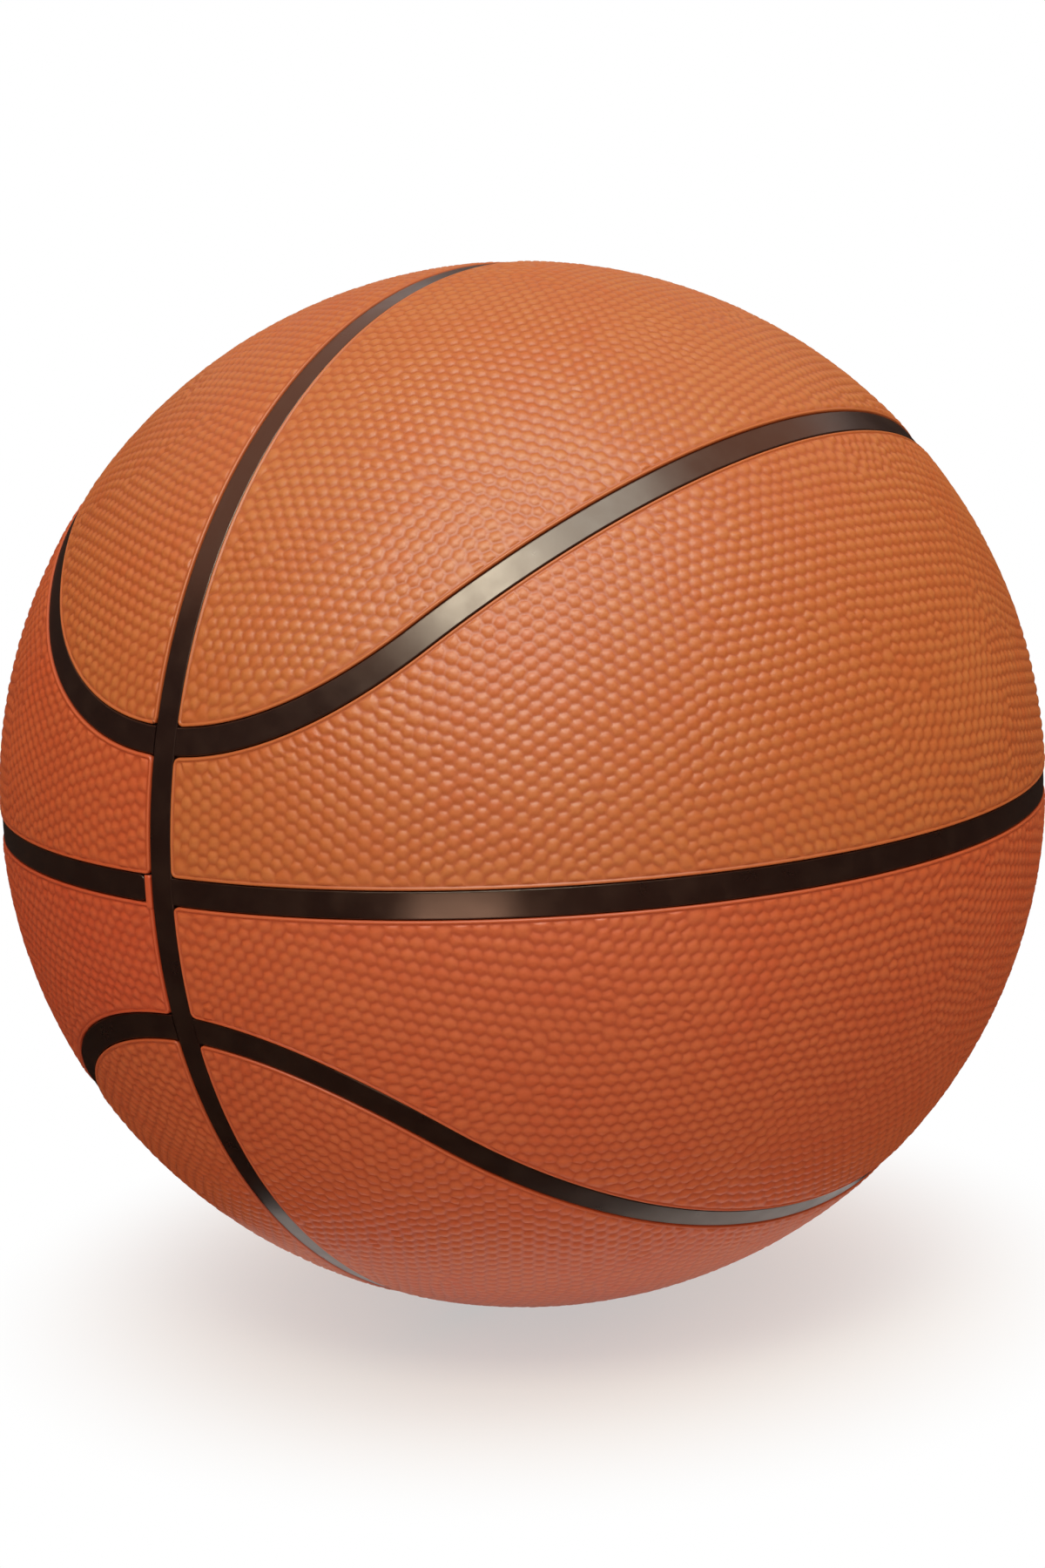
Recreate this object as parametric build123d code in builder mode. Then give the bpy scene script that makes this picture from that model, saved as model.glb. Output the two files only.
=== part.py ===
from build123d import *
import os
from math import acos, atan2, cos, degrees, radians, sin, sqrt

# An inflated basketball in eight panels, from the air bladder out to the pebbled cover.
# The origin is the ball's centre and +Z is up. The Y axis runs through the two places where the
# flat seam, in the plane Z = 0, crosses the upright seam, in the plane X = 0. Each curved seam is
# a wedge turned about Y out of the flat seam's plane, with its corner rounded in the front view.

# Wall of the ball, in millimetres
ball_radius = 120.0  # over the cover, about 754 mm round: a size 7 ball
cover_thickness = 1.6
carcass_thickness = 0.9
winding_thickness = 0.6
bladder_thickness = 0.8
bond_line = 0.1  # glue film between two layers

# Seams
strip_width = 5.6
strip_thickness = 1.1
strip_edge_round = 0.3
strip_end_round = 1.6  # corners of the one strip end that stops short
side_gap = 0.2  # groove between a strip's side and the panel beside it
joint_gap = 0.2  # butt joint between the upright strip and a strip that meets it
gore_angle = 45.0  # degrees about Y from the flat seam to the curved seam
bend_height = 30.0  # curved seam's centreline above the flat seam's, where they come nearest
bridge_width = 1.6  # lip of the cover across the flat seam, where the left strip stops short at the front
bridge_recess = 0.35  # lip's top below the top of the cover
bridge_root = 3.0  # lip's length inside the edge of its panel
bridge_round = 0.3

# Cover panels
panel_edge_round = 0.7
panel_corner_round = 1.2

# Valve
valve_angle = 22.5  # degrees about Y from the flat seam: the middle of a side panel
valve_recess = 0.4  # valve's face below the top of the cover
neck_radius = 4.5
neck_clearance = 0.15  # around the neck in each layer that it passes
flange_radius = 14.0
flange_thickness = 1.6
flange_rim_thickness = 0.5
flange_bond = 0.2  # glue bed between the flange and the bladder
boss_radius = 5.5
boss_length = 9.0
boss_round = 1.2
neck_chamfer = 0.3
plug_radius = 2.7
plug_clearance = 0.05  # sliding fit of the plug in its housing
plug_head_radius = 3.4
plug_head_thickness = 1.4
plug_length = 13.0
plug_taper = 0.8
needle_radius = 1.0
needle_depth = 8.0
needle_mouth_radius = 1.8
needle_mouth_depth = 0.9

# Radii of the layers, from the cover inwards
cover_inner = ball_radius - cover_thickness
carcass_outer = cover_inner - bond_line
carcass_inner = carcass_outer - carcass_thickness
winding_outer = carcass_inner - bond_line
winding_inner = winding_outer - winding_thickness
bladder_outer = winding_inner - bond_line
bladder_inner = bladder_outer - bladder_thickness
strip_outer = cover_inner + strip_thickness

# Seam layout in the front view
half_strip = strip_width / 2
half_channel = half_strip + side_gap
strip_end = half_strip + joint_gap
short_strip_end = half_channel + bridge_width + side_gap
bend_centre = bend_height / (1 - cos(radians(gore_angle)))
bend_radius = bend_centre * cos(radians(gore_angle))
reach = 2 * ball_radius  # runs the outlines out past the ball
tangent_angle = gore_angle - 90  # where a bend runs into its straight part, about the bend's centre

# Valve axis, and a half plane beside it whose x is a radius and whose y is a height above the ball's centre
valve_direction = Vector(-cos(radians(valve_angle)), 0, sin(radians(valve_angle)))
valve_axis = Axis((0, 0, 0), valve_direction)
valve_plane = Plane(origin=(0, 0, 0), x_dir=(0, 1, 0), z_dir=valve_direction)
valve_section = Plane(origin=(0, 0, 0), x_dir=(0, 1, 0), z_dir=Vector(0, 1, 0).cross(valve_direction))
valve_hole_radius = neck_radius + neck_clearance
valve_face = ball_radius - valve_recess

# The right upper quarter's pieces are mirrored into the other three quarters
quarters = {
    "upper_right": [],
    "upper_left": [Plane.YZ],
    "lower_right": [Plane.XY],
    "lower_left": [Plane.YZ, Plane.XY],
}
valve_quarter = "upper_left"
bridge_quarter = "lower_left"

os.makedirs("parts", exist_ok=True)


def write(piece, label):
    piece.part.label = label
    export_step(piece.part, f"parts/{label}.step")


def shell(outer, inner):
    Sphere(outer)
    Sphere(inner, mode=Mode.SUBTRACT)


def valve_hole():
    from_centre = (Align.CENTER, Align.CENTER, Align.MIN)
    with Locations(valve_plane):
        Cylinder(valve_hole_radius, reach, align=from_centre, mode=Mode.SUBTRACT)


def long_edges(strip):
    top = strip.faces().sort_by(SortBy.AREA)[-1]
    return top.edges().filter_by(lambda edge: edge.length > 2 * strip_width)


def curved_edge(offset, start_x):
    """Bend and straight run beside a curved seam, offset towards the flat seam, from start_x outwards."""
    radius = bend_radius + offset
    start_angle = -degrees(acos(start_x / radius))
    bend = CenterArc((0, bend_centre), radius, start_angle, tangent_angle - start_angle)
    run = PolarLine(bend @ 1, reach, gore_angle)
    return bend @ 0, run @ 1


# Wall layers under the cover

with BuildPart() as carcass:
    shell(carcass_outer, carcass_inner)
    valve_hole()
write(carcass, "carcass")

with BuildPart() as winding:
    shell(winding_outer, winding_inner)
    valve_hole()
write(winding, "winding")

with BuildPart() as bladder:
    shell(bladder_outer, bladder_inner)
    valve_hole()
write(bladder, "bladder")

# Seam strips, bonded to the carcass between the panels

with BuildPart() as upright_strip:
    top_angle = degrees(acos(half_strip / strip_outer))
    seat_angle = degrees(acos(half_strip / cover_inner))
    with BuildSketch(Plane.XY) as strip_section:
        with BuildLine():
            top = CenterArc((0, 0), strip_outer, top_angle, 180 - 2 * top_angle)
            seat = CenterArc((0, 0), cover_inner, seat_angle, 180 - 2 * seat_angle)
            Line(top @ 0, seat @ 0)
            Line(top @ 1, seat @ 1)
        make_face()
        fillet(strip_section.vertices().group_by(Axis.Y)[-1], strip_edge_round)
    revolve(axis=Axis.X)
write(upright_strip, "upright_seam_strip")

with BuildPart() as flat_strip_right:
    shell(strip_outer, cover_inner)
    with BuildSketch(Plane.XZ):
        with Locations((strip_end, 0)):
            Rectangle(reach, strip_width, align=(Align.MIN, Align.CENTER))
    extrude(amount=reach, both=True, mode=Mode.INTERSECT)
    fillet(long_edges(flat_strip_right), strip_edge_round)
write(flat_strip_right, "flat_seam_strip_right")

with BuildPart() as flat_strip_left:
    shell(strip_outer, cover_inner)
    with BuildSketch(Plane.XZ):
        with Locations((-strip_end, 0)):
            Rectangle(reach, strip_width, align=(Align.MAX, Align.CENTER))
    extrude(amount=reach, both=True, mode=Mode.INTERSECT)
    with BuildSketch(Plane.XZ):
        Rectangle(2 * short_strip_end, reach)
    extrude(amount=reach, mode=Mode.SUBTRACT)
    short_end = flat_strip_left.edges().filter_by(Axis.Y).group_by(Axis.X)[0]
    fillet(short_end, strip_end_round)
    fillet(long_edges(flat_strip_left), strip_edge_round)
write(flat_strip_left, "flat_seam_strip_left")

with BuildPart() as curved_strip:
    shell(strip_outer, cover_inner)
    with BuildSketch(Plane.XZ):
        with BuildLine():
            lower_start, lower_end = curved_edge(half_strip, strip_end)
            upper_start, upper_end = curved_edge(-half_strip, strip_end)
            Line(lower_start, upper_start)
            Line(lower_end, upper_end)
        make_face()
    extrude(amount=reach, both=True, mode=Mode.INTERSECT)
    fillet(long_edges(curved_strip), strip_edge_round)

# Cover panels: a side panel next to the flat seam, a crown panel next to the upright seam

with BuildPart() as side_panel:
    shell(ball_radius, cover_inner)
    with BuildSketch(Plane.XZ):
        with BuildLine():
            start, end = curved_edge(half_channel, half_channel)
            Polyline(start, (half_channel, half_channel), (end.X, half_channel), end)
        make_face()
    extrude(amount=reach, both=True, mode=Mode.INTERSECT)
    fillet(side_panel.edges().filter_by(Axis.Y).group_by(Axis.X)[0], panel_corner_round)
    fillet(side_panel.faces().sort_by(SortBy.AREA)[-1].edges(), panel_edge_round)

with BuildPart() as crown_panel:
    shell(ball_radius, cover_inner)
    with BuildSketch(Plane.XZ):
        with BuildLine():
            start, end = curved_edge(-half_channel, half_channel)
            Polyline(start, (half_channel, end.Y), end)
        make_face()
    extrude(amount=reach, both=True, mode=Mode.INTERSECT)
    fillet(crown_panel.edges().filter_by(Axis.Y).group_by(Axis.X)[0], panel_corner_round)
    fillet(crown_panel.faces().sort_by(SortBy.AREA)[-1].edges(), panel_edge_round)

with BuildPart() as bridge:
    shell(ball_radius - bridge_recess, cover_inner)
    with BuildSketch(Plane.XZ):
        with Locations((-half_channel, half_strip)):
            Rectangle(bridge_width, strip_width + side_gap + bridge_root, align=(Align.MAX, Align.MAX))
    extrude(amount=reach, mode=Mode.INTERSECT)
    fillet(bridge.faces().sort_by(Axis.Y)[0].edges(), bridge_round)

for quarter, mirrors in quarters.items():
    for name, blank in (
        ("curved_seam_strip", curved_strip),
        ("side_panel", side_panel),
        ("crown_panel", crown_panel),
    ):
        with BuildPart() as piece:
            add(blank.part)
            for plane in mirrors:
                mirror(about=plane, mode=Mode.REPLACE)
            if name == "side_panel" and quarter == valve_quarter:
                valve_hole()
            if name == "side_panel" and quarter == bridge_quarter:
                add(bridge.part)
        write(piece, f"{name}_{quarter}")

# Valve: a rubber housing bonded inside the bladder, and the plug that seals round the needle

with BuildPart() as valve_housing:
    flange_outer = bladder_inner - flange_bond
    seat_height = valve_face - plug_head_thickness - plug_clearance
    bore_radius = plug_radius + plug_clearance
    seat_radius = plug_head_radius + plug_clearance
    rim_height = sqrt(flange_outer**2 - flange_radius**2)
    flange_height = sqrt(flange_outer**2 - boss_radius**2) - flange_thickness
    boss_end = flange_height - boss_length
    rim_angle = degrees(atan2(rim_height, flange_radius))
    neck_angle = degrees(acos(neck_radius / flange_outer))
    with BuildSketch(valve_section):
        with BuildLine():
            flange_top = CenterArc((0, 0), flange_outer, rim_angle, neck_angle - rim_angle)
            Polyline(
                flange_top @ 1,
                (neck_radius, valve_face),
                (seat_radius, valve_face),
                (seat_radius, seat_height),
                (bore_radius, seat_height),
                (bore_radius, boss_end),
                (boss_radius, boss_end),
                (boss_radius, flange_height),
                (flange_radius, rim_height - flange_rim_thickness),
                flange_top @ 0,
            )
        make_face()
    revolve(axis=valve_axis)
    fillet(valve_housing.edges().group_by(valve_axis)[0].sort_by(SortBy.RADIUS)[-1], boss_round)
    chamfer(valve_housing.edges().group_by(valve_axis)[-1].sort_by(SortBy.RADIUS)[-1], neck_chamfer)
write(valve_housing, "valve_housing")

with BuildPart() as valve_plug:
    plug_end = valve_face - plug_length
    head_height = valve_face - plug_head_thickness
    needle_end = valve_face - needle_depth
    with BuildSketch(valve_section):
        with BuildLine():
            Polyline(
                (0, plug_end),
                (plug_radius - plug_taper, plug_end),
                (plug_radius, plug_end + plug_taper),
                (plug_radius, head_height),
                (plug_head_radius, head_height),
                (plug_head_radius, valve_face),
                (needle_mouth_radius, valve_face),
                (needle_radius, valve_face - needle_mouth_depth),
                (needle_radius, needle_end),
                (0, needle_end - needle_radius),
                close=True,
            )
        make_face()
    revolve(axis=valve_axis)
write(valve_plug, "valve_plug")
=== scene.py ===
import math
import bpy
import bmesh
import numpy as np
from mathutils import Matrix, Vector, noise
from mathutils.geometry import delaunay_2d_cdt
from mathutils.kdtree import KDTree


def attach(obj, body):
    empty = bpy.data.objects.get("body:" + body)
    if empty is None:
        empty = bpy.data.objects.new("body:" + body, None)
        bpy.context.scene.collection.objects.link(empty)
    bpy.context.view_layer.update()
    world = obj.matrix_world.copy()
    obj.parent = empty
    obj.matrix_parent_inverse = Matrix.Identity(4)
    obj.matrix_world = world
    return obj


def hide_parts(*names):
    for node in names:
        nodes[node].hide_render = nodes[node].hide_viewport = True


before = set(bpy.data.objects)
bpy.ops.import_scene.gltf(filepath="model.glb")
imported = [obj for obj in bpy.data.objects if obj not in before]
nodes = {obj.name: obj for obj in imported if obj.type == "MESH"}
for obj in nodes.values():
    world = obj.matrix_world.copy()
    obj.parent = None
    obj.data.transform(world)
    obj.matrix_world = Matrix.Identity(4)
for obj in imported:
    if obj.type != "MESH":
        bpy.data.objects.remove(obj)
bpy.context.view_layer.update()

# the ball's own sizes, in metres, as in the CAD
ball = {
    "radius": 0.1200,
    "coverInner": 0.1184,
    "halfChannel": 0.0030,    # from a seam's middle to the panels beside it
    "bendHeight": 0.0300,     # where the curved seams cross the upright one
    "goreAngle": math.radians(45),
    "valvePanel": "side_panel_upper_left",
    "valveAngle": math.radians(22.5),
    "valveHole": 0.00465,
}
ball["bendCentre"] = ball["bendHeight"] / (1 - math.cos(ball["goreAngle"]))
ball["bendRadius"] = ball["bendCentre"] * math.cos(ball["goreAngle"])
tiny = 1e-12                  # keeps a length that is divided by above zero


# nodes, for materials and for geometry

def addNode(tree, kind, **settings):
    node = tree.nodes.new(kind)
    for key, value in settings.items():
        setattr(node, key, value)
    return node


def wire(tree, source, socket):
    # links another node's output to a socket, or sets the socket to a number or a colour
    if isinstance(source, bpy.types.NodeSocket):
        tree.links.new(source, socket)
    elif isinstance(source, tuple):
        socket.default_value = (*source, 1)
    else:
        socket.default_value = source


def mathNode(tree, operation, *values):
    node = addNode(tree, "ShaderNodeMath", operation=operation)
    for socket, value in zip(node.inputs, values):
        wire(tree, value, socket)
    return node.outputs[0]


def vectorNode(tree, operation, *values):
    node = addNode(tree, "ShaderNodeVectorMath", operation=operation)
    inUse = [socket for socket in node.inputs if socket.enabled]
    for socket, value in zip(inUse, values):
        wire(tree, value, socket)
    return node.outputs["Value"] if operation in ("LENGTH", "DOT_PRODUCT") else node.outputs[0]


# materials

def newMaterial(name):
    material = bpy.data.materials.new(name)
    material.use_nodes = True
    tree = material.node_tree
    return material, tree, tree.nodes["Principled BSDF"]


def objectCoords(tree):
    return addNode(tree, "ShaderNodeTexCoord").outputs["Object"]


def attributeOf(tree, name):
    return addNode(tree, "ShaderNodeAttribute", attribute_name=name).outputs["Fac"]


def noiseOf(tree, coords, scale, detail):
    node = addNode(tree, "ShaderNodeTexNoise")
    for socket, value in {"Vector": coords, "Scale": scale, "Detail": detail, "Roughness": 0.55}.items():
        wire(tree, value, node.inputs[socket])
    return node.outputs["Fac"]


def rangeOf(tree, value, fromMin, fromMax, toMin=0.0, toMax=1.0):
    node = addNode(tree, "ShaderNodeMapRange")
    sockets = ("Value", "From Min", "From Max", "To Min", "To Max")
    for socket, number in zip(sockets, (value, fromMin, fromMax, toMin, toMax)):
        wire(tree, number, node.inputs[socket])
    return node.outputs["Result"]


def mixColours(tree, share, first, second, blend="MIX"):
    node = addNode(tree, "ShaderNodeMix", data_type="RGBA", blend_type=blend)
    for index, value in ((0, share), (6, first), (7, second)):    # the sockets that a colour mix uses
        wire(tree, value, node.inputs[index])
    return node.outputs[2]


def bumpOf(tree, height, strength, distance):
    node = addNode(tree, "ShaderNodeBump")
    for socket, value in {"Height": height, "Strength": strength, "Distance": distance}.items():
        wire(tree, value, node.inputs[socket])
    return node.outputs["Normal"]


noiseSpan = (0.3, 0.7)        # where most of a noise's values lie

cover = {
    "lipWidth": 0.0008,       # smooth rim of each panel
    "cornerRound": 0.0013,
    "pitch": 0.00292,         # from one pebble to the next
    "pebbleHeight": 0.00047,
    "footShare": 0.74,        # how far out a pebble's flank stands
    "flankHeight": 0.48,      # how high it stands there, of the whole height
    "flankSaddle": 0.6,       # how much of the saddle shows there
    "crownShare": 0.30,       # how far out its top reaches
    "roundness": 0.75,
    "variation": 0.2,         # how much lower than the highest a pebble may be
    "saddle": 0.55,           # how high the cover stays between two pebbles of a row
    "rowStart": 0.35,         # squared cosine of the turn at which two pebbles begin to be in a row
    "rowSpan": 0.55,          # and how much more makes them fully so
    "wander": 1.1,            # how far the rows turn from level as they go round the ball
    "wanderScale": 4,
    "wanderShift": 11.3,      # so that no two panels wander alike
    "relaxRounds": 26,
    "grains": 9,              # patches of rows that start with a direction of their own
    "grainDraws": 6000,
    "grainInset": 0.008,      # how far the patches' middles stay from the seams
    "gridReach": 1.2,         # half the width of a patch's first grid, in ball radii
    "patchReach": 1.4,        # how far round the ball that grid is laid, in ball radii
    "stray": math.radians(7),     # how far a patch turns from the seam nearest to it
    "scatter": 0.10,          # how far points stray from their rows at the start, in pitches
    "edgeGap": 0.25,          # how far from the lip they start, in pitches
    "crowding": 0.6,          # of two points nearer than this one goes, in pitches
    "mirrorDepth": 2.2,       # how far in points have images beyond a seam, in pitches
    "valveMirrorDepth": 1.2,  # and round the valve's hole
    "sideMiddle": math.radians(22.5),     # angle of the panels' middles above the flat seam
    "crownMiddle": math.radians(67.5),
    "cornerMix": 0.6,         # a cell's corners, from its triangles' centroids at 0 to circumcentres at 1
    "snapReach": 0.45,        # corners this near to the lip's inner edge move onto it, in pitches
    "mergeReach": 0.0001,     # corners there that are nearer than this become one
    "fineReach": 0.0035,      # the border is finer where it lies this near to two edges or to the valve
    "topColour": (0.545, 0.186, 0.038),
    # painted shade: a darker colour in the valleys between the pebbles
    "valleyShadeColour": (0.445, 0.108, 0.015),
    "warmColour": (0.565, 0.222, 0.052),
    "redColour": (0.540, 0.146, 0.025),
    "warmShare": 0.5,         # how far the warmest pebble leans to the warm colour
    "valleyShadeTop": 0.75,        # share of a pebble's height at which the painted valley shade ends
    "mottleScale": 38,
    "mottleSpan": (0.35, 0.65),
    "deepDyeAndShade": (1.15, 0.60, 0.74),        # what the reddest panel's dye and painted shade do to these colours
    "dyeAndShade": {                  # how far a panel leans to it: partly dye, partly painted shade, redder and darker on the lower and left panels
        "side_panel_upper_right": 0.12,
        "side_panel_upper_left": 0.72,
        "side_panel_lower_right": 0.68,
        "side_panel_lower_left": 1.0,
        "crown_panel_upper_right": 0.0,
        "crown_panel_upper_left": 0.15,
        "crown_panel_lower_right": 0.68,
        "crown_panel_lower_left": 0.64,
    },
    "grainScale": 2600,
    "grainBump": 0.25,
    "grainDepth": 0.00006,
    "roughness": (0.47, 0.55),
    "specular": 1.0,
    "ior": 1.58,
}


def coverMaterial():
    material, tree, shader = newMaterial("pebbledCover")
    coords = objectCoords(tree)
    reach = vectorNode(tree, "LENGTH", coords)
    height = rangeOf(tree, reach, ball["radius"] - cover["pebbleHeight"], ball["radius"])
    patches = rangeOf(tree, noiseOf(tree, coords, cover["mottleScale"], 4), *cover["mottleSpan"])
    face = mixColours(tree, patches, cover["redColour"], cover["topColour"])
    warmth = rangeOf(tree, attributeOf(tree, "tone"), 0, 1, 0, cover["warmShare"])
    face = mixColours(tree, warmth, face, cover["warmColour"])
    # painted shade: the valleys between the pebbles are coloured darker, up to a share of their height
    colour = mixColours(tree, rangeOf(tree, height, 0, cover["valleyShadeTop"]), cover["valleyShadeColour"], face)
    # partly dye, partly painted shade: whole panels turn redder and darker by their share, most on the
    # lower and left ones
    colour = mixColours(tree, attributeOf(tree, "dyeAndShade"), colour, cover["deepDyeAndShade"], "MULTIPLY")
    wire(tree, colour, shader.inputs["Base Color"])
    grain = noiseOf(tree, coords, cover["grainScale"], 3)
    wire(tree, rangeOf(tree, grain, *noiseSpan, *cover["roughness"]), shader.inputs["Roughness"])
    wire(tree, bumpOf(tree, grain, cover["grainBump"], cover["grainDepth"]), shader.inputs["Normal"])
    shader.inputs["Specular IOR Level"].default_value = cover["specular"]
    shader.inputs["IOR"].default_value = cover["ior"]
    return material


strip = {
    "colour": (0.0150, 0.0070, 0.0068),
    "dustColour": (0.0230, 0.0130, 0.0110),
    "dustScale": 160,
    "dustSpan": (0.45, 0.75),
    "fineScale": 3200,
    "fineBump": 0.10,
    "fineDepth": 0.00003,
    "roughness": (0.27, 0.36),
    "specular": 1.0,
    "specularTint": (1.0, 0.83, 0.71),
    "ior": 1.6,
}


def stripMaterial():
    material, tree, shader = newMaterial("seamStripRubber")
    coords = objectCoords(tree)
    cloud = noiseOf(tree, coords, strip["dustScale"], 4)
    fine = noiseOf(tree, coords, strip["fineScale"], 2)
    dust = rangeOf(tree, cloud, *strip["dustSpan"])
    wire(tree, mixColours(tree, dust, strip["colour"], strip["dustColour"]), shader.inputs["Base Color"])
    wire(tree, rangeOf(tree, cloud, *noiseSpan, *strip["roughness"]), shader.inputs["Roughness"])
    wire(tree, bumpOf(tree, fine, strip["fineBump"], strip["fineDepth"]), shader.inputs["Normal"])
    shader.inputs["Specular IOR Level"].default_value = strip["specular"]
    shader.inputs["Specular Tint"].default_value = (*strip["specularTint"], 1)
    shader.inputs["IOR"].default_value = strip["ior"]
    return material


rubbers = {
    "housing": {
        "name": "valveHousingRubber", "colour": (0.012, 0.011, 0.011), "worn": (0.030, 0.027, 0.025),
        "scale": 240, "roughness": (0.42, 0.6), "bump": 0.2,
    },
    "plug": {
        "name": "valvePlugRubber", "colour": (0.020, 0.018, 0.017), "worn": (0.040, 0.036, 0.033),
        "scale": 300, "roughness": (0.38, 0.55), "bump": 0.2,
    },
    "carcass": {
        "name": "carcassRubber", "colour": (0.030, 0.026, 0.024), "worn": (0.060, 0.052, 0.046),
        "scale": 60, "roughness": (0.6, 0.8), "bump": 0.35,
    },
    "bladder": {
        "name": "bladderRubber", "colour": (0.016, 0.016, 0.018), "worn": (0.045, 0.045, 0.047),
        "scale": 45, "roughness": (0.35, 0.55), "bump": 0.2,
    },
}
wornSpan = (0.4, 0.7)         # noise values from plain to fully worn
fineness = 18                 # how much finer the bump is than the wear
bumpDepth = 0.0001


def plainRubber(rubber):
    material, tree, shader = newMaterial(rubber["name"])
    coords = objectCoords(tree)
    cloud = noiseOf(tree, coords, rubber["scale"], 4)
    fine = noiseOf(tree, coords, rubber["scale"] * fineness, 2)
    wear = rangeOf(tree, cloud, *wornSpan)
    wire(tree, mixColours(tree, wear, rubber["colour"], rubber["worn"]), shader.inputs["Base Color"])
    wire(tree, rangeOf(tree, cloud, *noiseSpan, *rubber["roughness"]), shader.inputs["Roughness"])
    wire(tree, bumpOf(tree, fine, rubber["bump"], bumpDepth), shader.inputs["Normal"])
    return material


thread = {
    "turns": ((0.4, 0.2, 0.0), (1.3, 0.7, 0.9), (2.2, 1.6, 0.3)),     # how each pass is turned, in radians
    "waveScale": 420,
    "distortion": 1.5,
    # painted shade between the threads
    "gapShadeColour": (0.36, 0.31, 0.23),
    "threadColour": (0.74, 0.69, 0.58),
    "bump": 0.6,
    "depth": 0.0003,
    "roughness": 0.7,
}


def threadMaterial():
    material, tree, shader = newMaterial("woundThread")
    coords = objectCoords(tree)
    heights = []
    for turn in thread["turns"]:
        mapping = addNode(tree, "ShaderNodeMapping")
        mapping.inputs["Rotation"].default_value = turn
        wire(tree, coords, mapping.inputs["Vector"])
        wave = addNode(tree, "ShaderNodeTexWave")
        wave.inputs["Scale"].default_value = thread["waveScale"]
        wave.inputs["Distortion"].default_value = thread["distortion"]
        wire(tree, mapping.outputs["Vector"], wave.inputs["Vector"])
        heights.append(wave.outputs["Fac"])
    top = heights[0]
    for other in heights[1:]:
        top = mathNode(tree, "MAXIMUM", top, other)
    # painted shade: the gaps between the threads are coloured darker, by the same height as the bump
    colour = mixColours(tree, top, thread["gapShadeColour"], thread["threadColour"])
    wire(tree, colour, shader.inputs["Base Color"])
    wire(tree, bumpOf(tree, top, thread["bump"], thread["depth"]), shader.inputs["Normal"])
    shader.inputs["Roughness"].default_value = thread["roughness"]
    return material


finishes = {"cover": coverMaterial(), "strip": stripMaterial()}
for kind, rubber in rubbers.items():
    finishes[kind] = plainRubber(rubber)
finishes["thread"] = threadMaterial()
print("materials made")


# meshes and node trees for geometry

def newTree(name, inputs):
    tree = bpy.data.node_groups.new(name, "GeometryNodeTree")
    tree.interface.new_socket(name="Geometry", in_out="INPUT", socket_type="NodeSocketGeometry")
    for label, kind in inputs.items():
        tree.interface.new_socket(name=label, in_out="INPUT", socket_type="NodeSocket" + kind)
    tree.interface.new_socket(name="Geometry", in_out="OUTPUT", socket_type="NodeSocketGeometry")
    return tree, tree.nodes.new("NodeGroupInput"), tree.nodes.new("NodeGroupOutput")


def runTree(obj, tree, values):
    # gives the object the plain mesh that the tree makes of its own
    modifier = obj.modifiers.new(tree.name, "NODES")
    modifier.node_group = tree
    for item in tree.interface.items_tree:
        if item.in_out == "INPUT" and item.name in values:
            modifier[item.identifier] = values[item.name]
    evaluated = obj.evaluated_get(bpy.context.evaluated_depsgraph_get())
    mesh = bpy.data.meshes.new_from_object(evaluated)
    obj.modifiers.clear()
    spare = obj.data
    obj.data = mesh
    mesh.name = obj.name
    bpy.data.meshes.remove(spare)


def newPiece(name, mesh):
    obj = bpy.data.objects.new(name, mesh)
    bpy.context.scene.collection.objects.link(obj)
    return obj


def outward(mesh):
    # drops loose points and turns each closed shell's faces outwards
    work = bmesh.new()
    work.from_mesh(mesh)
    loose = [point for point in work.verts if not point.link_faces]
    bmesh.ops.delete(work, geom=loose, context="VERTS")
    bmesh.ops.recalc_face_normals(work, faces=work.faces)
    remaining = set(work.faces)
    while remaining:
        shell, growing = [], [remaining.pop()]
        while growing:
            face = growing.pop()
            shell.append(face)
            near = {other for edge in face.edges for other in edge.link_faces} & remaining
            remaining -= near
            growing += near
        volume = sum(face.calc_center_median().dot(face.normal) * face.calc_area() for face in shell)
        if volume < 0:
            bmesh.ops.reverse_faces(work, faces=shell)
    work.to_mesh(mesh)
    work.free()


# pebbled panels: points settle between a panel's edges, and each point's cell becomes one pebble
# all are worked out in the right upper quarter and mirrored from there

valveEdge = 3                 # place of the valve's hole among a side panel's edges
sameSpot = 1e-7               # points nearer than this are one, on a ball of radius 1
nudge = 1e-9                  # gives a direction to a cell's side that has no length


def onBall(points, radius):
    return points * (radius / np.linalg.norm(points, axis=1, keepdims=True))


def curvedSeam(points):
    # distance in the front view from the curved seam's centreline, towards the crown, and its direction
    sine, cosine = math.sin(ball["goreAngle"]), math.cos(ball["goreAngle"])
    x, z = points[:, 0], points[:, 2] - ball["bendCentre"]
    onRun = x * cosine + z * sine > 0
    length = np.hypot(x, z) + tiny
    straight = cosine * points[:, 2] - sine * points[:, 0]
    distance = np.where(onRun, straight, ball["bendRadius"] - length)
    direction = np.zeros_like(points)
    direction[:, 0] = np.where(onRun, -sine, -x / length)
    direction[:, 2] = np.where(onRun, cosine, -z / length)
    return distance, direction


def panelEdges(points, panel):
    # distance inside each of the panel's edges, and the way in
    towards = 1 if panel["crown"] else -1
    distance, direction = curvedSeam(points)
    across = np.zeros_like(points)
    across[:, 0] = 1
    edges = [
        (points[:, 0] - ball["halfChannel"], across),
        (towards * distance - ball["halfChannel"], towards * direction),
    ]
    if not panel["crown"]:
        up = np.zeros_like(points)
        up[:, 2] = 1
        edges.append((points[:, 2] - ball["halfChannel"], up))
    if panel["hole"]:
        axis = np.array((math.cos(ball["valveAngle"]), 0, math.sin(ball["valveAngle"])))
        radial = points - (points @ axis)[:, None] * axis
        length = np.linalg.norm(radial, axis=1) + tiny
        edges.append((length - ball["valveHole"], radial / length[:, None]))
    return edges


def insidePanel(points, panel, inset):
    return np.all([distance > inset for distance, way in panelEdges(points, panel)], axis=0)


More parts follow.
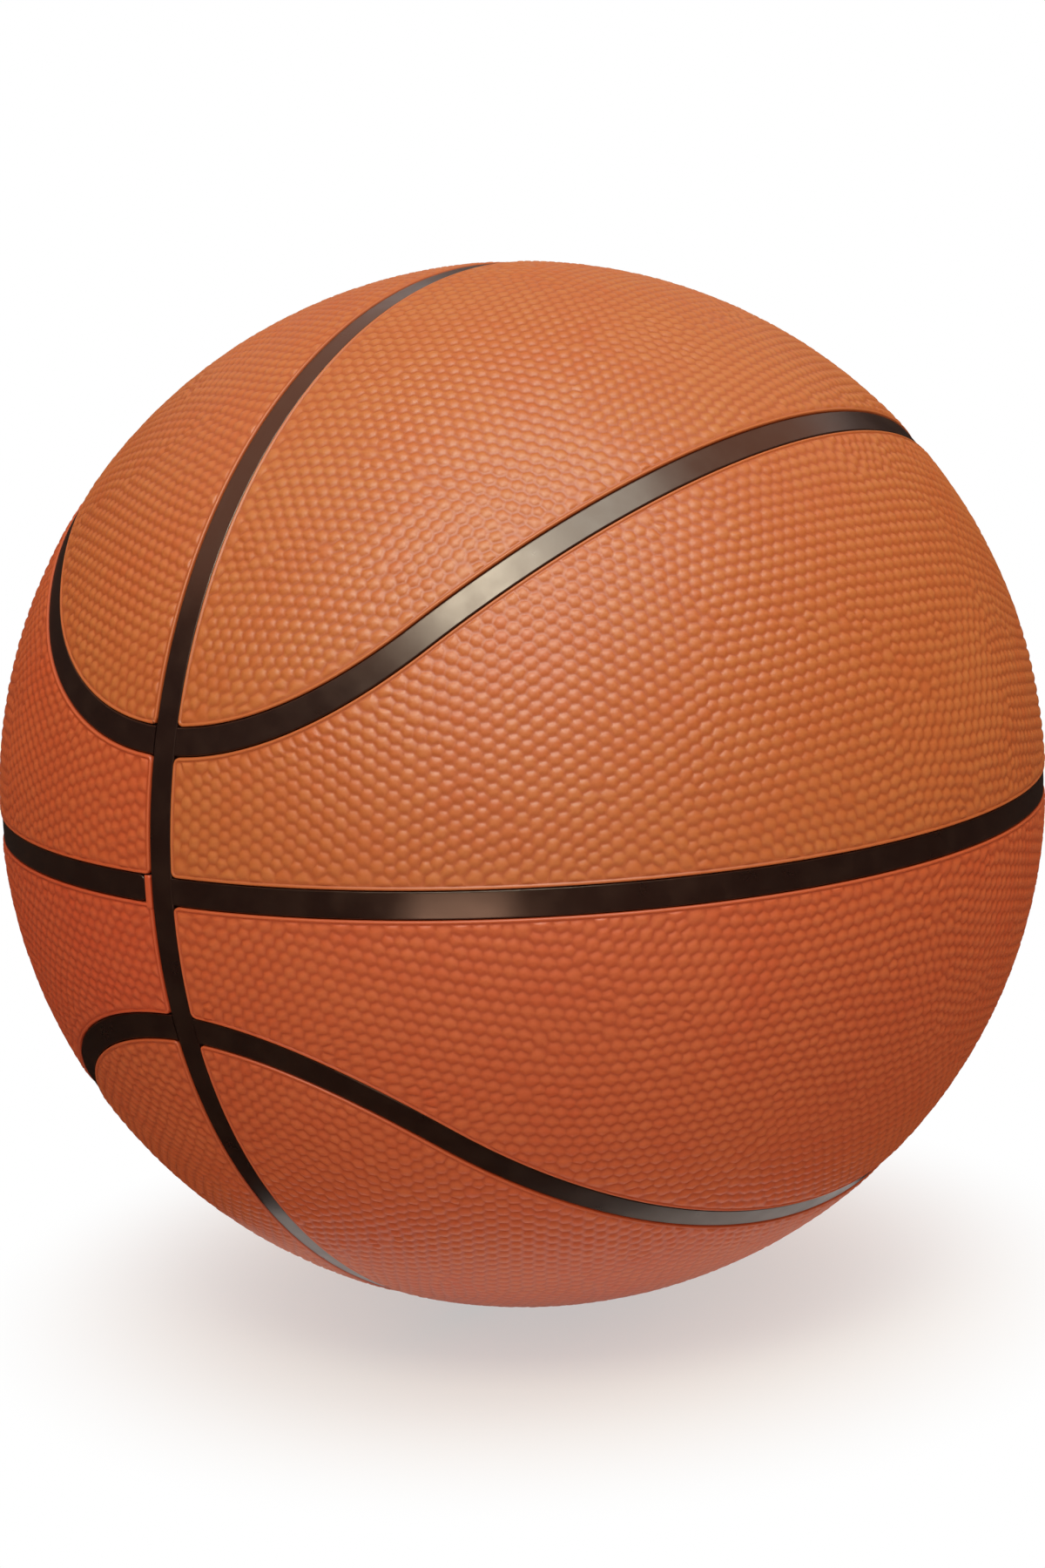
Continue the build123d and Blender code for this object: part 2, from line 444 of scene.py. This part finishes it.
def moveToInset(points, panel, inset, radius):
    # slides points to a distance inside the nearest edge, round the panel's corners
    corner = cover["cornerRound"]
    for again in range(3):
        pull = np.zeros_like(points)
        total = np.zeros(len(points))
        for distance, way in panelEdges(points, panel):
            depth = np.maximum(corner - distance, 0)
            pull += depth[:, None] * way
            total += depth**2
        total = np.sqrt(total) + tiny
        shift = inset - (corner - total)
        points = onBall(points + shift[:, None] * pull / total[:, None], radius)
    return points


def searchTree(points):
    tree = KDTree(len(points))
    for index, point in enumerate(points):
        tree.insert(point, index)
    tree.balance()
    return tree


def firstPoints(panel, rng):
    # patches of even rows, each laid along the seam nearest to it
    pitch, radius = cover["pitch"], ball["radius"]
    inset = cover["lipWidth"] + cover["edgeGap"] * pitch
    draws = onBall(rng.normal(size=(cover["grainDraws"], 3)), radius)
    centres = draws[insidePanel(draws, panel, cover["grainInset"])][: cover["grains"]]
    reach = int(cover["gridReach"] * radius / pitch)
    steps = np.arange(-reach, reach)
    column, row = (grid.ravel() for grid in np.meshgrid(steps, steps))
    found = []
    for index, centre in enumerate(centres):
        out = centre / radius
        nearestEdge = min(panelEdges(centre[None], panel), key=lambda edge: edge[0][0])
        side = np.cross(out, nearestEdge[1][0])
        side /= np.linalg.norm(side)
        turn = rng.normal(0, cover["stray"])
        offset = rng.uniform(0, 1, 2)
        x = (column + 0.5 * row + offset[0]) * pitch
        y = (row + offset[1]) * pitch * math.sqrt(3) / 2
        spread, angle = np.hypot(x, y) + tiny, np.arctan2(y, x) + turn
        near = spread < cover["patchReach"] * radius
        spread, angle = spread[near] / radius, angle[near]
        flat = np.cos(angle)[:, None] * side + np.sin(angle)[:, None] * np.cross(out, side)
        points = radius * (np.cos(spread)[:, None] * out + np.sin(spread)[:, None] * flat)
        nearestPatch = np.argmin(np.linalg.norm(points[:, None] - centres[None], axis=2), axis=1)
        points = points[nearestPatch == index]
        found.append(points[insidePanel(points, panel, inset)])
    points = np.concatenate(found)
    points = onBall(points + rng.normal(0, cover["scatter"] * pitch, points.shape), radius)
    tree = searchTree(points)
    crowded = set()
    for index, point in enumerate(points):
        if index not in crowded:
            hits = tree.find_range(point, cover["crowding"] * pitch)
            crowded.update(hit[1] for hit in hits if hit[1] > index)
    return np.delete(points, sorted(crowded), axis=0)


def triangulate(points, panel):
    # images of the points beyond each edge, then Delaunay triangles on the unrolled ball
    pitch, inset, radius = cover["pitch"], cover["lipWidth"], ball["radius"]
    cloud = points
    for index in range(len(panelEdges(points[:1], panel))):
        distance, way = panelEdges(cloud, panel)[index]
        depth = cover["valveMirrorDepth"] if index == valveEdge else cover["mirrorDepth"]
        inside = distance - inset
        close = (inside > 0) & (inside < depth * pitch)
        images = onBall(cloud[close] - 2 * inside[close, None] * way[close], radius)
        cloud = np.concatenate([cloud, images[~insidePanel(images, panel, inset)]])
    angle = cover["crownMiddle"] if panel["crown"] else cover["sideMiddle"]
    middle = np.array((math.cos(angle), 0, math.sin(angle)))
    along = np.array((0.0, 1.0, 0.0))
    beside = np.cross(middle, along)
    unit = cloud / radius
    stretch = 2 / (1 + unit @ middle)
    flat = np.stack([stretch * (unit @ along), stretch * (unit @ beside)], 1)
    result = delaunay_2d_cdt([Vector(point) for point in flat], [], [], 0, sameSpot)
    triangles, sources = np.array(result[2]), result[3]
    order = np.array([source[0] for source in sources])
    return cloud, order[triangles]


def settlePoints(panel):
    # each round moves the points to the middles of the triangles round them
    rng = np.random.default_rng(panel["seed"])
    points = firstPoints(panel, rng)
    for again in range(cover["relaxRounds"]):
        cloud, triangles = triangulate(points, panel)
        corners = cloud[triangles]
        middles = corners.mean(1)
        first, second = corners[:, 1] - corners[:, 0], corners[:, 2] - corners[:, 0]
        area = np.linalg.norm(np.cross(first, second), axis=1)
        total, weight = np.zeros_like(cloud), np.zeros(len(cloud))
        for side in range(3):
            np.add.at(total, triangles[:, side], middles * area[:, None])
            np.add.at(weight, triangles[:, side], area)
        points = onBall(total[: len(points)] / weight[: len(points), None], ball["radius"])
    return points


def rowShare(ends, panel):
    # 1 on a cell's side that lies between two pebbles of the same row, 0 on one between two rows
    middles = onBall(ends.mean(1), 1.0)
    across = onBall(np.cross(middles, ends[:, 1] - ends[:, 0]) + nudge, 1.0)
    level = onBall(np.cross((0.0, 0.0, 1.0), middles), 1.0)
    shift = Vector((0, 0, cover["wanderShift"] * panel["seed"]))
    waves = [noise.noise(Vector(middle) * cover["wanderScale"] + shift) for middle in middles]
    lean = cover["wander"] * np.array(waves)
    along = np.cos(lean)[:, None] * level + np.sin(lean)[:, None] * np.cross(middles, level)
    inRow = np.sum(across * along, axis=1)**2
    share = np.clip((inRow - cover["rowStart"]) / cover["rowSpan"], 0, 1)
    return share * share * (3 - 2 * share)


def cellCorners(cloud, triangles, count, panel):
    # one corner in each triangle, moved onto the lip's inner edge along the border
    # and for each corner the first one at the same place
    corners = cloud[triangles]
    centroid = corners.mean(1)
    rise = np.cross(corners[:, 1] - corners[:, 0], corners[:, 2] - corners[:, 0])
    rise *= np.sign(np.sum(rise * centroid, axis=1))[:, None]
    mix = cover["cornerMix"]
    vertices = onBall(onBall(rise, 1.0) * mix + onBall(centroid, 1.0) * (1 - mix), ball["radius"])
    border = np.any(triangles >= count, axis=1)
    for distance, way in panelEdges(vertices, panel):
        away = distance - cover["lipWidth"]
        moved = border & (np.abs(away) < cover["snapReach"] * cover["pitch"])
        vertices[moved] -= away[moved][:, None] * way[moved]
    tree = searchTree(vertices)
    same = np.arange(len(vertices))
    for index in np.flatnonzero(border):
        same[index] = min(hit[1] for hit in tree.find_range(vertices[index], cover["mergeReach"]))
    return vertices, same[same]


def cellRings(points, panel):
    # each point's cell as a ring of corners, in order round the point, with a middle on every side
    cloud, triangles = triangulate(points, panel)
    vertices, same = cellCorners(cloud, triangles, len(points), panel)
    fans = [{} for point in points]
    for index, triangle in enumerate(triangles):
        for turn in range(3):
            corner, first, last = np.roll(triangle, -turn)
            if corner < len(points):
                fans[corner][first] = (last, index)
    rings = []
    for fan in fans:
        begin = current = next(iter(fan))
        ring = []
        while not ring or current != begin:
            current, index = fan[current]
            ring.append(int(same[index]))
        rings.append([corner for place, corner in enumerate(ring) if corner != ring[place - 1]])
    middles = {}
    places = list(vertices)
    faces = []
    for ring in rings:
        face = []
        for first, last in zip(ring, ring[1:] + ring[:1]):
            key = (min(first, last), max(first, last))
            if key not in middles:
                middles[key] = len(places)
                places.append((vertices[first] + vertices[last]) / 2)
            face += [first, middles[key]]
        faces.append(face)
    share = np.concatenate([np.zeros(len(vertices)), rowShare(vertices[np.array(list(middles))], panel)])
    return np.array(places), share, len(vertices), faces


def borderLoops(faces):
    sides = {(first, last) for face in faces for first, last in zip(face, face[1:] + face[:1])}
    following = {first: last for first, last in sides if (last, first) not in sides}
    loops = []
    while following:
        start, current = following.popitem()
        loop = [start]
        while current != start:
            loop.append(current)
            current = following.pop(current)
        loops.append(loop)
    return loops


def refineBorder(places, faces, panel):
    # a middle on each border side that lies in a corner or round the valve
    places, extra = list(places), {}
    for loop in borderLoops(faces):
        for first, last in zip(loop, loop[1:] + loop[:1]):
            middle = (places[first] + places[last]) / 2
            close = [distance[0] < cover["fineReach"] for distance, way in panelEdges(middle[None], panel)]
            if sum(close) > 1 or sum(close[valveEdge:]):
                extra[(first, last)] = len(places)
                places.append(middle)
    refined = []
    for face in faces:
        longer = []
        for first, last in zip(face, face[1:] + face[:1]):
            longer.append(first)
            if (first, last) in extra:
                longer.append(extra[(first, last)])
        refined.append(longer)
    return np.array(places), refined


# inset from the panel's edge and depth below the ball's surface: up from the pebbles' foot over a
# rounded rim, down the panel's side and in under it
rimProfile = [
    (0.00068, 0.00036),
    (0.00052, 0.00022),
    (0.00036, 0.00019),
    (0.00022, 0.00024),
    (0.00010, 0.00036),
    (0.00003, 0.00056),
    (0.00000, 0.00085),
    (0.00000, 0.00158),
    (0.00080, 0.00158),
]


bridge = {
    "panel": "side_panel_lower_left",
    "near": 0.0030,           # its two sides, out from the upright seam's middle
    "far": 0.0046,
    "recess": 0.00020,
    "round": 0.00035,
    "roundSteps": 5,
    "clear": 0.00002,         # off the carcass
    "from": 0.0042,           # inside the panel that it belongs to
    "to": -0.0028,            # just short of the panel across the seam
    "steps": 12,
}


def bridgeBar():
    # lip of cover between the left flat strip's end and the upright strip
    top, low = ball["radius"] - bridge["recess"], ball["coverInner"] + bridge["clear"]
    section = [(bridge["near"], low), (bridge["far"], low)]
    for side, x in ((1, bridge["far"] - bridge["round"]), (-1, bridge["near"] + bridge["round"])):
        for step in range(bridge["roundSteps"] + 1):
            angle = math.pi / 2 * step / bridge["roundSteps"]
            across = math.cos(angle) if side > 0 else math.sin(angle)
            rise = math.sin(angle) if side > 0 else math.cos(angle)
            section.append((x + side * bridge["round"] * across, top - bridge["round"] * (1 - rise)))
    steps, size = bridge["steps"], len(section)
    points = []
    for step in range(steps + 1):
        z = bridge["from"] + (bridge["to"] - bridge["from"]) * step / steps
        points += [(x, -math.sqrt(reach**2 - x**2 - z**2), z) for x, reach in section]
    faces = [list(range(size))[::-1], [steps * size + corner for corner in range(size)]]
    for step in range(steps):
        this, following = step * size, (step + 1) * size
        for corner in range(size):
            beside = (corner + 1) % size
            faces.append([this + corner, this + beside, following + beside, following + corner])
    return np.array(points), faces


def panelBlank(panel):
    # closed panel whose outer faces are the cells, still flat, with the saddles between them raised
    points = settlePoints(panel)
    places, share, cornerCount, faces = cellRings(points, panel)
    for again in range(2):
        places, faces = refineBorder(places, faces, panel)
    radius = ball["radius"]
    floorRadius = radius - cover["pebbleHeight"]
    sheet = onBall(places, floorRadius)
    sheet[: len(share)] *= 1 + (cover["saddle"] * cover["pebbleHeight"] / radius * share)[:, None]
    cells, isCell = list(faces), [True] * len(faces)
    blocks, count = [sheet], len(sheet)
    below = {}
    for loop in borderLoops(cells):
        sheet[loop] = moveToInset(sheet[loop], panel, cover["lipWidth"], floorRadius)
        previous = loop
        for inset, drop in rimProfile:
            current = list(range(count, count + len(loop)))
            blocks.append(moveToInset(sheet[loop], panel, inset, radius - drop))
            count += len(loop)
            for here in range(len(loop)):
                beside = (here + 1) % len(loop)
                faces.append([previous[beside], previous[here], current[here], current[beside]])
            previous = current
        below.update(zip(loop, previous))
    used = {corner for cell in cells for corner in cell}
    under = [corner for corner in range(cornerCount) if corner in used and corner not in below]
    blocks.append(onBall(places[under], radius - rimProfile[-1][1]))
    below.update(zip(under, range(count, count + len(under))))
    for cell in cells:
        faces.append([below[corner] for corner in cell if corner in below][::-1])
    if panel["bridge"]:
        count = sum(len(block) for block in blocks)
        bar, barFaces = bridgeBar()
        blocks.append(bar)
        faces += [[corner + count for corner in face] for face in barFaces]
    isCell += [False] * (len(faces) - len(isCell))
    vertices = np.concatenate(blocks) * np.array((panel["right"], 1, panel["upper"]))
    if panel["right"] * panel["upper"] < 0:
        faces = [face[::-1] for face in faces]
    mesh = bpy.data.meshes.new(panel["name"])
    mesh.from_pydata(vertices.tolist(), [], faces)
    outward(mesh)
    cell = mesh.attributes.new("cell", "BOOLEAN", "FACE")
    cell.data.foreach_set("value", isCell)
    return mesh, len(points)


def pebbleTree():
    # raises every cell in two steps, a steep flank and a rounded crown
    tree, start, end = newTree("pebbles", {
        "Base Radius": "Float", "Height": "Float", "Foot Share": "Float", "Crown Share": "Float",
        "Roundness": "Float", "Variation": "Float", "Dye And Shade": "Float", "Seed": "Int", "Material": "Material",
    })
    given = start.outputs
    position = tree.nodes.new("GeometryNodeInputPosition").outputs[0]
    area = tree.nodes.new("GeometryNodeInputMeshFaceArea").outputs[0]

    def store(geometry, name, kind, domain, value, selection=None):
        node = addNode(tree, "GeometryNodeStoreNamedAttribute", data_type=kind, domain=domain)
        node.inputs["Name"].default_value = name
        wire(tree, geometry, node.inputs["Geometry"])
        wire(tree, value, node.inputs["Value"])
        if selection:
            wire(tree, selection, node.inputs["Selection"])
        return node.outputs["Geometry"]

    def named(name, kind):
        node = addNode(tree, "GeometryNodeInputNamedAttribute", data_type=kind)
        node.inputs["Name"].default_value = name
        return node.outputs["Attribute"]

    def randomOf(low, high, seedOffset):
        node = addNode(tree, "FunctionNodeRandomValue", data_type="FLOAT")
        node.inputs[2].default_value = low
        node.inputs[3].default_value = high
        wire(tree, mathNode(tree, "ADD", given["Seed"], seedOffset), node.inputs["Seed"])
        return node.outputs[1]

    base = vectorNode(tree, "SCALE", vectorNode(tree, "NORMALIZE", position), given["Base Radius"])
    geometry = store(given["Geometry"], "centre", "FLOAT_VECTOR", "FACE", base)
    evenRadius = mathNode(tree, "SQRT", mathNode(tree, "DIVIDE", area, math.pi))
    geometry = store(geometry, "size", "FLOAT", "FACE", evenRadius)
    geometry = store(geometry, "tone", "FLOAT", "FACE", randomOf(0, 1, seedOffset=7))
    # each panel's share of dye and painted shade
    geometry = store(geometry, "dyeAndShade", "FLOAT", "FACE", given["Dye And Shade"])
    change = mathNode(tree, "MULTIPLY", randomOf(-1, 0, seedOffset=3), given["Variation"])
    height = mathNode(tree, "MULTIPLY", given["Height"], mathNode(tree, "ADD", change, 1.0))
    geometry = store(geometry, "rise", "FLOAT", "FACE", height)
    top = named("cell", "BOOLEAN")
    centre = named("centre", "FLOAT_VECTOR")
    size = named("size", "FLOAT")
    rise = named("rise", "FLOAT")
    outwards = vectorNode(tree, "NORMALIZE", centre)
    flank = ("Foot Share", cover["flankHeight"], cover["flankSaddle"])
    crown = ("Crown Share", 1.0, 0.0)
    for shareInput, lift, keep in (flank, crown):
        extrude = addNode(tree, "GeometryNodeExtrudeMesh", mode="FACES")
        extrude.inputs["Offset Scale"].default_value = 0
        extrude.inputs["Individual"].default_value = True
        wire(tree, geometry, extrude.inputs["Mesh"])
        wire(tree, top, extrude.inputs["Selection"])
        geometry, top = extrude.outputs["Mesh"], extrude.outputs["Top"]
        if keep:              # the crown uses what the flank has stored
            reach = vectorNode(tree, "SUBTRACT", position, centre)
            above = vectorNode(tree, "DOT_PRODUCT", reach, outwards)
            flat = vectorNode(tree, "SUBTRACT", reach, vectorNode(tree, "SCALE", outwards, above))
            geometry = store(geometry, "above", "FLOAT", "POINT", above, top)
            geometry = store(geometry, "arm", "FLOAT_VECTOR", "POINT", flat, top)
        arm = named("arm", "FLOAT_VECTOR")
        length = vectorNode(tree, "LENGTH", arm)
        spare = mathNode(tree, "SUBTRACT", size, length)
        rounded = mathNode(tree, "MULTIPLY", spare, given["Roundness"])
        shorter = mathNode(tree, "ADD", length, mathNode(tree, "MINIMUM", rounded, 0.0))
        wanted = mathNode(tree, "MULTIPLY", shorter, given[shareInput])
        out = vectorNode(tree, "SCALE", vectorNode(tree, "NORMALIZE", arm), wanted)
        saddle = mathNode(tree, "MULTIPLY", named("above", "FLOAT"), keep)
        raised = mathNode(tree, "ADD", mathNode(tree, "MULTIPLY", rise, lift), saddle)
        spot = vectorNode(tree, "ADD", centre, out)
        spot = vectorNode(tree, "ADD", spot, vectorNode(tree, "SCALE", outwards, raised))
        place = addNode(tree, "GeometryNodeSetPosition")
        wire(tree, geometry, place.inputs["Geometry"])
        wire(tree, top, place.inputs["Selection"])
        wire(tree, spot, place.inputs["Position"])
        geometry = place.outputs["Geometry"]
    for name in ("centre", "size", "rise", "arm", "above", "cell"):
        node = addNode(tree, "GeometryNodeRemoveAttribute")
        node.inputs["Name"].default_value = name
        wire(tree, geometry, node.inputs["Geometry"])
        geometry = node.outputs["Geometry"]
    smooth = addNode(tree, "GeometryNodeSetShadeSmooth")
    wire(tree, geometry, smooth.inputs["Geometry"])
    realize = addNode(tree, "GeometryNodeRealizeInstances")
    wire(tree, smooth.outputs["Geometry"], realize.inputs["Geometry"])
    paint = addNode(tree, "GeometryNodeSetMaterial")
    wire(tree, realize.outputs["Geometry"], paint.inputs["Geometry"])
    wire(tree, given["Material"], paint.inputs["Material"])
    wire(tree, paint.outputs["Geometry"], end.inputs["Geometry"])
    return tree


pebbles = pebbleTree()
seed = 11
for kind in ("side", "crown"):
    for level, upper in (("upper", 1), ("lower", -1)):
        for hand, right in (("right", 1), ("left", -1)):
            node = f"{kind}_panel_{level}_{hand}"
            seed += 1
            panel = {
                "name": f"{kind}Panel.{level}.{hand}",
                "crown": kind == "crown",
                "upper": upper,
                "right": right,
                "seed": seed,
                "hole": node == ball["valvePanel"],
                "bridge": node == bridge["panel"],
            }
            mesh, pebbleCount = panelBlank(panel)
            piece = newPiece(panel["name"], mesh)
            runTree(piece, pebbles, {
                "Base Radius": ball["radius"] - cover["pebbleHeight"], "Height": cover["pebbleHeight"],
                "Foot Share": cover["footShare"], "Crown Share": cover["crownShare"],
                "Roundness": cover["roundness"], "Variation": cover["variation"],
                "Dye And Shade": cover["dyeAndShade"][node], "Seed": seed, "Material": finishes["cover"],
            })
            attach(piece, "ball")
            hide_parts(node)
            piece.data.calc_loop_triangles()
            print(node, pebbleCount, "pebbles", len(piece.data.loop_triangles), "triangles")
print("panels made")


# carried-over CAD pieces

strips = [obj for name, obj in nodes.items() if "strip" in name]
carried = [(obj, "strip") for obj in strips]
for name, finish in {
    "carcass": "carcass", "winding": "thread", "bladder": "bladder",
    "valve_housing": "housing", "valve_plug": "plug",
}.items():
    carried.append((nodes[name], finish))
for obj, finish in carried:
    obj.data.materials.clear()
    obj.data.materials.append(finishes[finish])
print("carried-over pieces finished")


# floor, lights and camera

stage = {
    "floorReach": 2.4,
    "bendRadius": 0.6,
    "wallTop": 1.9,
    "segments": 72,
    "floorSteps": 6,
    "bendSteps": 8,
    "paperColour": (0.74, 0.69, 0.56),
    "paperRoughness": 0.9,
    "whiteShare": (0.50, 1.0),        # plain white seen in the paper, near the ball and far from it
    "whiteReach": (0.122, 0.185),     # and how far from the ball's centre near and far are
    "ambient": (0.67, 0.325, 0.215),
}
view = {"azimuth": 38.15, "elevation": 11.15, "roll": -2.65, "distance": 0.696, "lens": 68.67, "sensor": 36}
drape = {"foot": 0.09, "rim": 0.48, "top": 0.32, "colour": (0.02, 0.02, 0.02), "roughness": 0.95}

# towards: right, up and back as the camera sees them, from the ball's centre
lamps = {
    "softbox": {
        "towards": (0.145, 0.838, 0.524), "distance": 1.5, "size": (0.86, 0.52),
        "power": 5.2, "colour": (0.84, 1.0, 0.97), "inGloss": True, "stripsOnly": False,
    },
    "frontFill": {
        "towards": (-0.12, 0.62, 0.775), "distance": 1.4, "size": (0.6, 0.35),
        "power": 7.1, "colour": (0.88, 0.95, 0.84), "inGloss": True, "stripsOnly": False,
    },
    "lowFill": {
        "towards": (0.05, -0.10, 0.994), "distance": 1.2, "size": (0.9, 0.3),
        "power": 1.5, "colour": (1.0, 0.38, 0.26), "inGloss": True, "stripsOnly": False,
    },
    "backLeft": {
        "towards": (-0.62, 0.34, -0.71), "distance": 1.5, "size": (0.7, 0.5),
        "power": 3.2, "colour": (1.0, 0.88, 0.76), "inGloss": False, "stripsOnly": False,
    },
    "backRight": {
        "towards": (0.79, 0.36, -0.50), "distance": 1.5, "size": (0.7, 0.5),
        "power": 5.5, "colour": (1.0, 0.93, 0.84), "inGloss": False, "stripsOnly": False,
    },
    "glint": {
        "towards": (-0.1316, -0.310, 0.941), "distance": 0.1634, "size": (0.034, 0.023),
        "power": 0.0065, "colour": (1.0, 0.66, 0.50), "inGloss": True, "stripsOnly": True,
    },
}


def lookBasis():
    azimuth, elevation, roll = (math.radians(view[key]) for key in ("azimuth", "elevation", "roll"))
    outwards = math.cos(elevation)
    back = Vector((math.sin(azimuth) * outwards, -math.cos(azimuth) * outwards, math.sin(elevation)))
    level = Vector((math.cos(azimuth), math.sin(azimuth), 0))
    above = back.cross(level)
    right = level * math.cos(roll) + above * math.sin(roll)
    up = above * math.cos(roll) - level * math.sin(roll)
    return right, up, back


right, up, back = lookBasis()
cameraData = bpy.data.cameras.new("camera")
cameraData.lens = view["lens"]
cameraData.sensor_width = view["sensor"]
cameraData.clip_start = 0.01
camera = bpy.data.objects.new("camera", cameraData)
bpy.context.scene.collection.objects.link(camera)
turned = Matrix((right, up, back)).transposed().to_4x4()
camera.matrix_world = Matrix.Translation(back * view["distance"]) @ turned
bpy.context.scene.camera = camera


def paperSweep():
    # floor that bends up into a wall all round
    reach, bend, low = stage["floorReach"], stage["bendRadius"], -ball["radius"]
    floorSteps, bendSteps, around = stage["floorSteps"], stage["bendSteps"], stage["segments"]
    profile = [(reach * step / floorSteps, low) for step in range(1, floorSteps + 1)]
    for step in range(1, bendSteps + 1):
        angle = math.pi / 2 * step / bendSteps
        profile.append((reach + bend * math.sin(angle), low + bend * (1 - math.cos(angle))))
    profile.append((reach + bend, stage["wallTop"]))
    vertices = [(0, 0, low)]
    faces = []
    for out, height in profile:
        for here in range(around):
            angle = 2 * math.pi * here / around
            vertices.append((out * math.cos(angle), out * math.sin(angle), height))
    for here in range(around):
        beside = (here + 1) % around
        faces.append((0, 1 + here, 1 + beside))
        for ring in range(len(profile) - 1):
            inner = 1 + ring * around
            outer = inner + around
            faces.append((inner + here, outer + here, outer + beside, inner + beside))
    mesh = bpy.data.meshes.new("paperSweep")
    mesh.from_pydata(vertices, [], faces)
    for face in mesh.polygons:
        face.use_smooth = True
    return mesh


def paperMaterial():
    # paper that is seen whiter than it lights the ball, and keeps the shadow near the ball
    material, tree, shader = newMaterial("whitePaper")
    shader.inputs["Base Color"].default_value = (*stage["paperColour"], 1)
    shader.inputs["Roughness"].default_value = stage["paperRoughness"]
    reach = vectorNode(tree, "LENGTH", objectCoords(tree))
    share = rangeOf(tree, reach, *stage["whiteReach"], *stage["whiteShare"])
    share.node.interpolation_type = "SMOOTHSTEP"
    path = addNode(tree, "ShaderNodeLightPath")
    seen = mathNode(tree, "ADD", path.outputs["Is Camera Ray"], path.outputs["Is Glossy Ray"])
    seen = mathNode(tree, "ADD", seen, path.outputs["Is Transmission Ray"])
    seen = mathNode(tree, "MINIMUM", seen, 1.0)
    glow = addNode(tree, "ShaderNodeEmission")
    mix = addNode(tree, "ShaderNodeMixShader")
    wire(tree, mathNode(tree, "MULTIPLY", seen, share), mix.inputs[0])
    wire(tree, shader.outputs[0], mix.inputs[1])
    wire(tree, glow.outputs[0], mix.inputs[2])
    wire(tree, mix.outputs[0], tree.nodes["Material Output"].inputs["Surface"])
    return material


def clothBowl():
    # dark cloth hung all round, which keeps the paper's white out of the rubber's sheen
    mesh = bpy.data.meshes.new("darkCloth")
    hang = bmesh.new()
    depth = drape["top"] + ball["radius"]
    bmesh.ops.create_cone(
        hang, segments=stage["segments"], radius1=drape["foot"], radius2=drape["rim"], depth=depth)
    bmesh.ops.translate(hang, verts=hang.verts, vec=(0, 0, (drape["top"] - ball["radius"]) / 2))
    hang.to_mesh(mesh)
    hang.free()
    material, tree, shader = newMaterial("darkCloth")
    shader.inputs["Base Color"].default_value = (*drape["colour"], 1)
    shader.inputs["Roughness"].default_value = drape["roughness"]
    mesh.materials.append(material)
    return mesh


floor = newPiece("paperSweep", paperSweep())
floor.data.materials.append(paperMaterial())

cloth = newPiece("darkCloth", clothBowl())
cloth.visible_camera = False
cloth.visible_diffuse = False
cloth.visible_shadow = False

stripGroup = bpy.data.collections.new("seamStrips")
for obj in strips:
    stripGroup.objects.link(obj)
for name, box in lamps.items():
    lampData = bpy.data.lights.new(name, "AREA")
    lampData.shape = "RECTANGLE"
    lampData.size, lampData.size_y = box["size"]
    lampData.energy = box["power"]
    lampData.color = box["colour"]
    lamp = bpy.data.objects.new(name, lampData)
    bpy.context.scene.collection.objects.link(lamp)
    towards = right * box["towards"][0] + up * box["towards"][1] + back * box["towards"][2]
    lamp.location = towards * box["distance"]
    lamp.rotation_mode = "QUATERNION"
    lamp.rotation_quaternion = towards.to_track_quat("Z", "Y")
    lamp.visible_camera = False
    lamp.visible_glossy = box["inGloss"]
    if box["stripsOnly"]:
        lamp.visible_diffuse = False
        lamp.light_linking.receiver_collection = stripGroup

world = bpy.data.worlds.new("studio")
bpy.context.scene.world = world
world.use_nodes = True
world.node_tree.nodes["Background"].inputs["Color"].default_value = (*stage["ambient"], 1)
bpy.context.scene.view_settings.view_transform = "Standard"
print("stage made")
